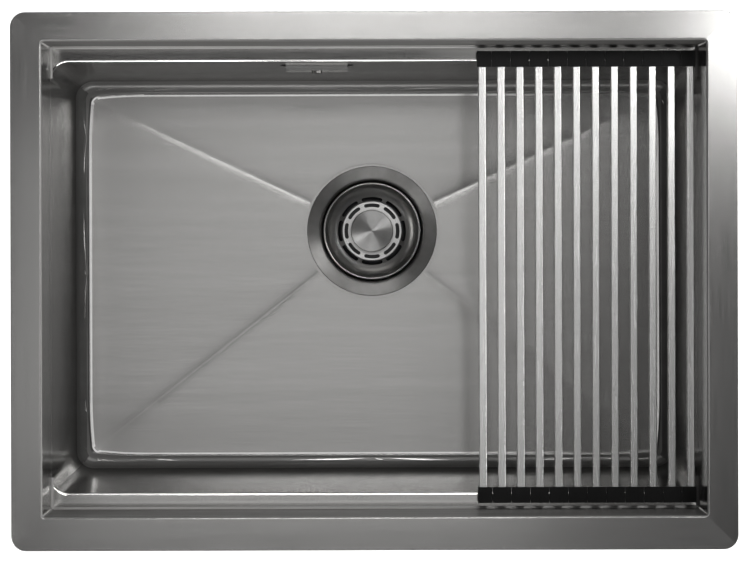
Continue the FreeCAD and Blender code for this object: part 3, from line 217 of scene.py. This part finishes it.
def brushed(name, dark, light, smooth, rough, stretch, metal=1.0, scratch_height=SCRATCH_HEIGHT):
    """Sheet steel, brushed along the U direction of its grain map, with this share of metal."""
    material, shader = new_finish(name, light, rough, metal)
    shader.inputs["Specular IOR Level"].default_value = 0.0
    shader.inputs["Anisotropic"].default_value = stretch
    shader.inputs["Anisotropic Rotation"].default_value = QUARTER_TURN
    grain = add_node(material, "ShaderNodeUVMap", uv_map="grain").outputs["UV"]
    tangent = add_node(material, "ShaderNodeTangent", direction_type="UV_MAP", uv_map="grain")
    material.node_tree.links.new(tangent.outputs["Tangent"], shader.inputs["Tangent"])
    scratches = grains(material, grain, SCRATCHES_PER_METRE)
    belt_marks = grains(material, grain, BELT_MARKS_PER_METRE, detail=2.0)
    drive_roughness(material, shader, scratches, smooth, rough)
    drive_colour(material, shader, belt_marks, dark, light)
    drive_bump(material, shader, scratches, scratch_height)
    return material


rim_steel = brushed("brushed_rim_steel", (0.52, 0.512, 0.50), (0.57, 0.562, 0.55), 0.17, 0.23, 0.45)
# Painted highlight: the ledge's light colour stands in for the light it catches.
ledge_steel_painted_highlight = brushed("brushed_ledge_painted_highlight", (0.80, 0.79, 0.77), (0.85, 0.84, 0.82), 0.11, 0.15, 0.2)
floor_steel = brushed("brushed_floor_steel", (0.385, 0.379, 0.37), (0.415, 0.409, 0.40), 0.18, 0.24, 0.45)
# Painted highlight: the step's light colour stands in for the bright line along the pan's edge.
step_steel_painted_highlight = brushed("brushed_step_painted_highlight", (0.66, 0.652, 0.64), (0.70, 0.692, 0.68), 0.12, 0.16, 0.2)
# Painted shade: the fillets and bends get dark colours and less metal, so they look shaded.
fillet_steel_painted_shade = brushed(
    "brushed_fillet_painted_shade", (0.20, 0.197, 0.192), (0.23, 0.227, 0.222), 0.34, 0.40, 0.0, metal=0.45)
end_fillet_steel_painted_shade = brushed(
    "brushed_end_fillet_painted_shade", (0.11, 0.108, 0.105), (0.13, 0.128, 0.125), 0.38, 0.44, 0.0, metal=0.15)
bend_steel_painted_shade = brushed(
    "brushed_bend_painted_shade", (0.16, 0.157, 0.152), (0.19, 0.187, 0.182), 0.32, 0.38, 0.0, metal=0.4)
# Painted shade: the walls get darker colours for the shade they lie in, the long and upper walls darkest.
end_wall_steel_painted_shade = brushed(
    "brushed_end_wall_painted_shade", (0.26, 0.256, 0.248), (0.30, 0.295, 0.287), 0.16, 0.22, 0.45,
    scratch_height=WALL_SCRATCH_HEIGHT)
long_wall_steel_painted_shade = brushed(
    "brushed_long_wall_painted_shade", (0.115, 0.112, 0.108), (0.14, 0.137, 0.132), 0.16, 0.22, 0.45,
    metal=0.62, scratch_height=WALL_SCRATCH_HEIGHT)
top_wall_steel_painted_shade = brushed(
    "brushed_top_wall_painted_shade", (0.09, 0.088, 0.085), (0.11, 0.108, 0.105), 0.18, 0.24, 0.45,
    metal=0.24, scratch_height=WALL_SCRATCH_HEIGHT)
# Painted highlight on the cover's lip and painted shadow on its slope.
lip_steel_painted_highlight = brushed("brushed_lip_painted_highlight", (0.80, 0.79, 0.77), (0.85, 0.84, 0.82), 0.16, 0.22, 0.2)
bevel_steel_painted_shadow = brushed("brushed_bevel_painted_shadow", (0.08, 0.079, 0.077), (0.10, 0.099, 0.097), 0.24, 0.30, 0.2)
bar_steel = brushed("brushed_bar_steel", (0.85, 0.845, 0.83), (0.90, 0.895, 0.88), 0.22, 0.28, 0.3)
print("sheet finishes:", rim_steel.name, ledge_steel_painted_highlight.name, floor_steel.name, bar_steel.name)

# %% [markdown]
# ## Turned round pieces
#
# Turned and polished round pieces have their scratches in circles. A radial tangent gives the direction
# without any map, and the noise is read by the distance from the drain's axis, so it forms rings. On the
# cap the anisotropy is nearly full. That draws the shine out into the fan of light that turned discs are
# known for.

# %% Make the finishes of the round pieces
DRAIN = Vector((-0.0018, 0.0378, 0.0))
RINGS_PER_METRE = (2400.0, 1.0, 1.0)
WEAR_PER_METRE = (90.0, 90.0, 90.0)


def turned(name, dark, light, smooth, rough, stretch):
    """Round steel with its scratches in circles about the drain."""
    material, shader = new_finish(name, light, rough, metallic=1.0)
    links = material.node_tree.links
    tangent = add_node(material, "ShaderNodeTangent", direction_type="RADIAL", axis="Z")
    links.new(tangent.outputs["Tangent"], shader.inputs["Tangent"])
    shader.inputs["Anisotropic"].default_value = stretch
    shader.inputs["Anisotropic Rotation"].default_value = QUARTER_TURN
    centred = add_node(material, "ShaderNodeMapping")
    centred.inputs["Location"].default_value = -DRAIN
    centred.inputs["Scale"].default_value = (1.0, 1.0, 0.0)
    links.new(object_place(material), centred.inputs["Vector"])
    radius = add_node(material, "ShaderNodeVectorMath", operation="LENGTH")
    links.new(centred.outputs["Vector"], radius.inputs[0])
    spot = add_node(material, "ShaderNodeCombineXYZ")
    links.new(radius.outputs["Value"], spot.inputs["X"])
    rings = grains(material, spot.outputs["Vector"], RINGS_PER_METRE)
    wear = grains(material, object_place(material), WEAR_PER_METRE, detail=4.0)
    drive_roughness(material, shader, rings, smooth, rough)
    drive_colour(material, shader, wear, dark, light)
    drive_bump(material, shader, rings, SCRATCH_HEIGHT)
    return material


flange_steel = turned("turned_flange_steel", (0.21, 0.206, 0.20), (0.26, 0.256, 0.25), 0.30, 0.36, 0.92)
basket_steel = turned("turned_basket_steel", (0.54, 0.535, 0.527), (0.61, 0.605, 0.597), 0.26, 0.34, 0.3)
cap_steel = turned("turned_cap_steel", (0.38, 0.376, 0.37), (0.46, 0.456, 0.45), 0.34, 0.42, 0.97)
screw_steel = turned("turned_screw_steel", (0.18, 0.177, 0.172), (0.22, 0.217, 0.212), 0.30, 0.36, 0.0)
print("round finishes:", flange_steel.name, basket_steel.name, cap_steel.name, screw_steel.name)

# %% [markdown]
# ## Moulded, rubber and brass finishes
#
# These have no direction, so their grains are equal along all three axes. Rubber is dark and scatters light,
# with a fine tooth from its mould. Silicone is smoother. Polypropylene has a low sheen and small orange-peel
# dimples, and its colour shifts a little. The brass nuts are turned from bar and have begun to tarnish.
#
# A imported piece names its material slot, so most finishes are kept by slot. Two pieces have one of their
# own.

# %% Make the other finishes
SHADES_PER_METRE = (40.0, 40.0, 40.0)


def moulded(name, dark, light, smooth, rough, size, height, metallic=0.0, shine=0.5):
    """A finish with round grains of one size, in metres, and this height of bump."""
    material, shader = new_finish(name, light, rough, metallic)
    shader.inputs["Specular IOR Level"].default_value = shine
    place = object_place(material)
    count = 1.0 / size
    fine = grains(material, place, (count, count, count))
    broad = grains(material, place, SHADES_PER_METRE, detail=4.0)
    drive_roughness(material, shader, broad, smooth, rough)
    drive_colour(material, shader, broad, dark, light)
    drive_bump(material, shader, fine, height)
    return material


by_slot = {
    "waste_steel": basket_steel,
    "cap_steel": cap_steel,
    "pad_rubber": moulded(
        "pad_rubber", (0.030, 0.030, 0.032), (0.048, 0.048, 0.050), 0.62, 0.78, 0.0016, 0.00025),
    "black_rubber": moulded(
        "black_rubber", (0.012, 0.012, 0.013), (0.024, 0.024, 0.025), 0.50, 0.66, 0.0008, 0.00006),
    "silicone": moulded(
        "dark_silicone", (0.004, 0.004, 0.004), (0.008, 0.008, 0.008), 0.42, 0.56, 0.0009, 0.00003,
        shine=0.14),
    "grey_plastic": moulded(
        "grey_plastic", (0.50, 0.50, 0.49), (0.58, 0.58, 0.57), 0.36, 0.50, 0.0012, 0.00004),
    "black_plastic": moulded(
        "black_plastic", (0.018, 0.018, 0.019), (0.034, 0.034, 0.035), 0.34, 0.50, 0.0011, 0.00005),
    "brass": moulded(
        "brass", (0.62, 0.44, 0.20), (0.74, 0.55, 0.27), 0.24, 0.42, 0.0005, 0.00002, metallic=1.0),
}
by_piece = {"waste_cup": flange_steel, "overflow_screw": screw_steel}
print("other finishes:", ", ".join(sorted(by_slot)))

# %% [markdown]
# ## Copies that carry a grain map
#
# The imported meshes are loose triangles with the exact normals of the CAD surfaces. A copy is merged into
# one skin, and the exact normals are carried over to it, because normals worked out again from thin
# triangles next to wide flat ones would shade the flats unevenly. The copy then gets its UV map, laid out
# in metres by the way each face looks.

# %% Write the copy tools
MERGE = 0.000001
SEEN_FROM_ABOVE = 0.7


def merged_copy(node, name):
    """A merged copy of a CAD piece that stands for it, with the CAD normals kept at every face corner."""
    source = nodes[node]
    exact = [corner.vector.copy() for corner in source.data.corner_normals]
    form = bmesh.new()
    form.from_mesh(source.data)
    kept = form.loops.layers.float_vector.new("exact_normal")
    for face in form.faces:
        for corner in face.loops:
            corner[kept] = exact[corner.index]
    bmesh.ops.remove_doubles(form, verts=form.verts, dist=MERGE)
    mesh = bpy.data.meshes.new(name)
    piece = bpy.data.objects.new(name, mesh)
    bpy.context.scene.collection.objects.link(piece)
    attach(piece, source["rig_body"])
    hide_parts(node)
    return piece, form, kept


def lay_grain(form, along_y=False):
    """A UV map in metres. On faces seen from above, U runs along X, or along Y if along_y is set."""
    layer = form.loops.layers.uv.new("grain")
    for face in form.faces:
        way = face.normal
        for corner in face.loops:
            x, y, z = corner.vert.co
            if abs(way.z) > SEEN_FROM_ABOVE:
                uv = (y, x) if along_y else (x, y)
            elif abs(way.x) > abs(way.y):
                uv = (y, z)
            else:
                uv = (x, z)
            corner[layer].uv = uv


def write_piece(piece, form, kept, finishes, number=None):
    """Turns the worked form into the piece's mesh. Number says which of the finishes a face takes."""
    mesh = piece.data
    normals = []
    for face in form.faces:
        face.smooth = True
        if number:
            face.material_index = number(face)
        for corner in face.loops:
            normals.append(corner[kept].normalized())
    form.loops.layers.float_vector.remove(kept)
    form.to_mesh(mesh)
    form.free()
    mesh.normals_split_custom_set(normals)
    for finish in finishes:
        mesh.materials.append(finish)
    print(piece.name, "has", len(mesh.polygons), "faces")


# %% [markdown]
# ## Which form of the shell takes which finish
#
# The bowl and the rim strips are each one skin of one steel, but each form gets its own tone: the ledges and
# the pan's step carry painted highlights, and the walls, bends and fillets carry painted shade. A face is told
# apart by its height, in metres from the top of the rim, and by how far its normal rises, which is 1 on a
# level face and 0 on an upright one.
# From the top down there are the bend under the rim, the upper walls, the ledges with their own bends, the
# walls, the fillet at the foot of the walls, the pan's step and the floor.

# %% Tell the forms of the shell apart
FLAT, LEDGE, END_WALL, LONG_WALL, STEP, FILLET, BEND, END_FILLET = range(8)
BOWL_FINISHES = [floor_steel, ledge_steel_painted_highlight, end_wall_steel_painted_shade, long_wall_steel_painted_shade, step_steel_painted_highlight, fillet_steel_painted_shade,
                 bend_steel_painted_shade, end_fillet_steel_painted_shade]
RIM_FINISHES = [rim_steel, ledge_steel_painted_highlight, end_wall_steel_painted_shade, top_wall_steel_painted_shade, step_steel_painted_highlight, fillet_steel_painted_shade,
                bend_steel_painted_shade, end_fillet_steel_painted_shade]
BEND_LOW = -0.0018
LEDGE_TOP, LEDGE_FLAT, LEDGE_LOW = -0.050, -0.060, -0.070
FILLET_TOP, STEP_TOP, TOE_TOP, STEP_LOW = -0.2015, -0.2099, -0.2107, -0.2111
FLAT_RISE, LAND_RISE, TOE_RISE = 0.97, 0.995, 0.998
SLOPE_RISE, LEDGE_BEND_RISE, UPRIGHT_RISE = 0.5, 0.4, 0.12


# The shell's finishes carry painted light: highlight on the ledges and the step, shade on walls, bends,
# fillets.
def finish_number(face):
    """Which of the shell's finishes a face takes, by how deep it lies and which way it looks."""
    level = face.calc_center_median().z
    rise = face.normal.z
    looks_along = abs(face.normal.x) > abs(face.normal.y)
    if level > BEND_LOW and abs(rise) < FLAT_RISE:
        return BEND
    foot_of_wall = STEP_TOP < level < FILLET_TOP and abs(rise) < LAND_RISE
    if foot_of_wall or TOE_TOP < level < STEP_TOP:
        return END_FILLET if looks_along else FILLET
    if STEP_LOW < level < TOE_TOP and SLOPE_RISE < rise < TOE_RISE:
        return STEP
    if LEDGE_LOW < level < LEDGE_TOP and abs(rise) > UPRIGHT_RISE:
        inner_bend = level < LEDGE_FLAT and rise > LEDGE_BEND_RISE
        return LEDGE if rise > FLAT_RISE or inner_bend else FILLET
    if abs(rise) > SLOPE_RISE:
        return FLAT
    return END_WALL if looks_along else LONG_WALL


print("the shell has", len(BOWL_FINISHES), "finishes below the rim and as many on its rim strips")

# %% [markdown]
# ## The rim strips
#
# The rim is made of four strips of sheet, mitred and welded at the corners. Each strip is brushed lengthwise
# before it is welded, so the tone changes along the mitres when light falls from one side.

# %% Copy the rim strips
for node, along_y in (("rim_back", False), ("rim_front", False), ("rim_left", True), ("rim_right", True)):
    strip, form, kept = merged_copy(node, node + "_strip")
    lay_grain(form, along_y)
    write_piece(strip, form, kept, RIM_FINISHES, finish_number)

# %% [markdown]
# ## Cutting the floor for its creases
#
# Four creases are pressed into the floor, from the corners of the pan to the drain. They lead the last water
# out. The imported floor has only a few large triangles, and a crease needs points to bend at. So the floor is
# cut along lines beside each crease, closer together near the middle, and at some stations across it.

# %% Cut the floor
FLOOR_TOP, FLOOR_LOW = -0.2108, -0.2148
FLOOR_RISE = 0.98
CUT_LIMIT = 0.0000005
CREASE_OFFSETS = [0.0, 0.0008, 0.0018, 0.0030, 0.0045, 0.0065, 0.0090, 0.013, 0.019]
CREASE_STATIONS = [0.006, 0.016, 0.034, 0.064, 0.110, 0.160, 0.210]
PAN_CORNER_X, PAN_CORNER_Y = 0.2424, 0.1511
UPRIGHT = Vector((0.0, 0.0, 1.0))


def floor_faces(form):
    """The faces of the pan's four panels, seen from above."""
    found = []
    for face in form.faces:
        level = face.calc_center_median().z
        if face.normal.z > FLOOR_RISE and FLOOR_LOW < level < FLOOR_TOP:
            found.append(face)
    return found


def cut_floor(form, spot, across):
    """Cuts the panels along an upright plane through a spot."""
    faces = floor_faces(form)
    edges = {edge for face in faces for edge in face.edges}
    verts = {vert for face in faces for vert in face.verts}
    geometry = list(verts) + list(edges) + faces
    bmesh.ops.bisect_plane(form, geom=geometry, dist=CUT_LIMIT, plane_co=spot, plane_no=across)


bowl, form, kept = merged_copy("sink_bowl", "bowl")
form.normal_update()
pan_corners = [Vector((x * PAN_CORNER_X, y * PAN_CORNER_Y, 0.0)) for x in (-1, 1) for y in (-1, 1)]
for pan_corner in pan_corners:
    along = (DRAIN - pan_corner).normalized()
    across = along.cross(UPRIGHT)
    for offset in CREASE_OFFSETS:
        for side in (-1, 1) if offset else (1,):
            cut_floor(form, pan_corner + across * offset * side, across)
    for station in CREASE_STATIONS:
        cut_floor(form, pan_corner + along * station, along)
floor = floor_faces(form)
print("the floor has", len(floor), "faces after the cuts")

# %% [markdown]
# ## Pressing the creases
#
# A crease is a narrow valley whose sides get steeper towards its line, so it catches the light on one side
# and loses it on the other. The points of the floor are lowered by an amount that falls off away from the
# line and grows from nothing at the pan's corner to its full depth at the drain. The floor's own normals no
# longer fit after that, so they are worked out again, for the floor's faces alone.

# %% Press the creases
CREASE_DEPTH = 0.00062
CREASE_WIDTH = 0.0054
CREASE_ROUND = 0.0004


def crease_depth(spot, pan_corner):
    """How far a point of the floor sinks for the crease from one corner."""
    line = DRAIN - pan_corner
    along = line.normalized()
    offset = spot - pan_corner
    run = offset.dot(along)
    away = (offset - along * run).length
    edge = math.exp(-CREASE_OFFSETS[-1] / CREASE_WIDTH)
    side = (math.exp(-max(away, CREASE_ROUND) / CREASE_WIDTH) - edge) / (1.0 - edge)
    if run <= 0.0 or side <= 0.0 or run > line.length:
        return 0.0
    return CREASE_DEPTH * side * math.sqrt(run / line.length)


for vert in {vert for face in floor for vert in face.verts}:
    flat_spot = Vector((vert.co.x, vert.co.y, 0.0))
    vert.co.z -= sum(crease_depth(flat_spot, pan_corner) for pan_corner in pan_corners)
form.normal_update()
in_floor = set(floor)
for face in floor:
    for corner in face.loops:
        normal = Vector((0.0, 0.0, 0.0))
        for near in corner.vert.link_faces:
            if near in in_floor:
                normal += near.normal * near.calc_area()
        corner[kept] = normal.normalized()
lay_grain(form)
write_piece(bowl, form, kept, BOWL_FINISHES, finish_number)

# %% [markdown]
# ## The bars of the rack
#
# The bars are square tube with soft edges, drawn and brushed along their length, so U runs along Y on them.

# %% Copy the bars
BAR_COUNT = 12

for number in range(1, BAR_COUNT + 1):
    bar, form, kept = merged_copy("rack_bar_%02d" % number, "bar_%02d" % number)
    lay_grain(form, along_y=True)
    write_piece(bar, form, kept, [bar_steel])

# %% [markdown]
# ## The overflow cover
#
# The cover is a strip bent away from the wall. Its foot and its front get a light colour as a painted
# highlight, and the slope between them, in the shadow of the ledge, gets a dark colour as a painted shadow,
# so two bright lines stand apart. The slope is told apart by its normal.

# %% Copy the overflow cover
SLOPE_LOW, SLOPE_HIGH = 0.3, 0.9

cover, form, kept = merged_copy("overflow_cover", "cover")
lay_grain(form)
# The lip's light colour is a painted highlight and the slope's dark colour is a painted shadow.
write_piece(
    cover, form, kept, [lip_steel_painted_highlight, bevel_steel_painted_shadow],
    lambda face: 1 if SLOPE_LOW < face.normal.z < SLOPE_HIGH else 0)

# %% [markdown]
# ## Finishes for the pieces that stay as they are
#
# The other pieces are shown as they were packed. Their finishes read object coordinates, so they need no
# map, and each piece gets the finish of its slot.

# %% Hand out the finishes
dressed = 0
for subpart in frame["record"]["subparts"]:
    material = by_piece.get(subpart["node"]) or by_slot.get(subpart["material_slot"])
    if material:
        mesh = nodes[subpart["node"]].data
        mesh.materials.clear()
        mesh.materials.append(material)
        dressed += 1
print(dressed, "packed pieces dressed")

# %% [markdown]
# ## The floor and the room
#
# The floor of the studio is white and glows a little, so that it stays pure white behind the sink. The room
# itself is almost dark: steel shows what it mirrors, and here that should be the lights alone.

# %% Make the floor and the room
FLOOR_SIZE = 8.0
FLOOR_GAP = 0.001
FLOOR_GLOW = 0.6
ROOM_LIGHT = 0.01
WHITE = (1.0, 1.0, 1.0, 1.0)

bpy.ops.mesh.primitive_plane_add(size=FLOOR_SIZE, location=(0.0, 0.0, cad_low.z - FLOOR_GAP))
floor_plane = bpy.context.object
floor_plane.name = "floor"
floor_finish, floor_shader = new_finish("white_floor", (0.9, 0.9, 0.9), 0.9)
floor_shader.inputs["Emission Color"].default_value = WHITE
floor_shader.inputs["Emission Strength"].default_value = FLOOR_GLOW
floor_plane.data.materials.append(floor_finish)

room = bpy.data.worlds.new("room")
bpy.context.scene.world = room
room.use_nodes = True
room.node_tree.nodes["Background"].inputs["Color"].default_value = WHITE
room.node_tree.nodes["Background"].inputs["Strength"].default_value = ROOM_LIGHT
print("the floor lies at", round(floor_plane.location.z, 4))

# %% [markdown]
# ## The lights
#
# The light comes from broad soft panels. The level faces of the sink mirror the panels overhead, and the
# bends, the walls and the turned pieces mirror the tall ones that stand around. The back and the right are
# lit more than the left and the front, which gives the rim its change from dark to bright.

# %% Hang the lights
CEILING = 2.3


def soft_light(name, place, target, size, power):
    """A rectangular light of this size in metres and this power in watts, which looks at a target."""
    light = bpy.data.lights.new(name, "AREA")
    light.shape = "RECTANGLE"
    light.size, light.size_y = size
    light.energy = power
    lamp = bpy.data.objects.new(name, light)
    bpy.context.scene.collection.objects.link(lamp)
    lamp.location = place
    lamp.rotation_euler = (Vector(target) - Vector(place)).to_track_quat("-Z", "Y").to_euler()


def overhead(name, x, y, size, power):
    soft_light(name, (x, y, CEILING), (x, y, 0.0), size, power)


overhead("back_panel", -0.02, 0.75, (0.65, 0.3), 5.9)
overhead("right_panel", 1.05, 0.50, (0.35, 0.3), 6.2)
overhead("back_right_panel", 0.75, 0.75, (0.3, 0.9), 5.2)
overhead("left_panel", -1.05, -0.75, (0.3, 0.3), 2.6)
overhead("front_panel", -0.1, -1.05, (1.1, 0.3), 1.2)
overhead("middle_panel", -0.14, -0.2, (0.8, 0.4), 0.90)
overhead("middle_back_panel", -0.10, 0.12, (0.85, 0.2), 0.52)
overhead("right_front_panel", 0.40, -0.35, (0.5, 0.4), 0.05)
overhead("right_back_panel", 0.37, 0.25, (0.5, 0.3), 0.09)
soft_light("right_wall_panel", (2.4, 0.0, 0.575), (0.0, 0.0, 0.0), (3.0, 1.05), 88.0)
soft_light("front_wall_panel", (0.0, -2.4, 1.4), (0.0, 0.0, 0.0), (3.0, 0.6), 62.0)
soft_light("back_wall_panel", (0.0, 2.4, 0.85), (0.0, 0.0, 0.0), (3.0, 0.5), 30.0)
bpy.context.scene.view_settings.view_transform = "Standard"
print(len(bpy.data.lights), "lights hung")

# %% [markdown]
# ## Bringing the view layer up to date
#
# The view layer is brought up to date at the end, after all the pieces are made.

# %% Bring the view layer up to date
bpy.context.view_layer.update()
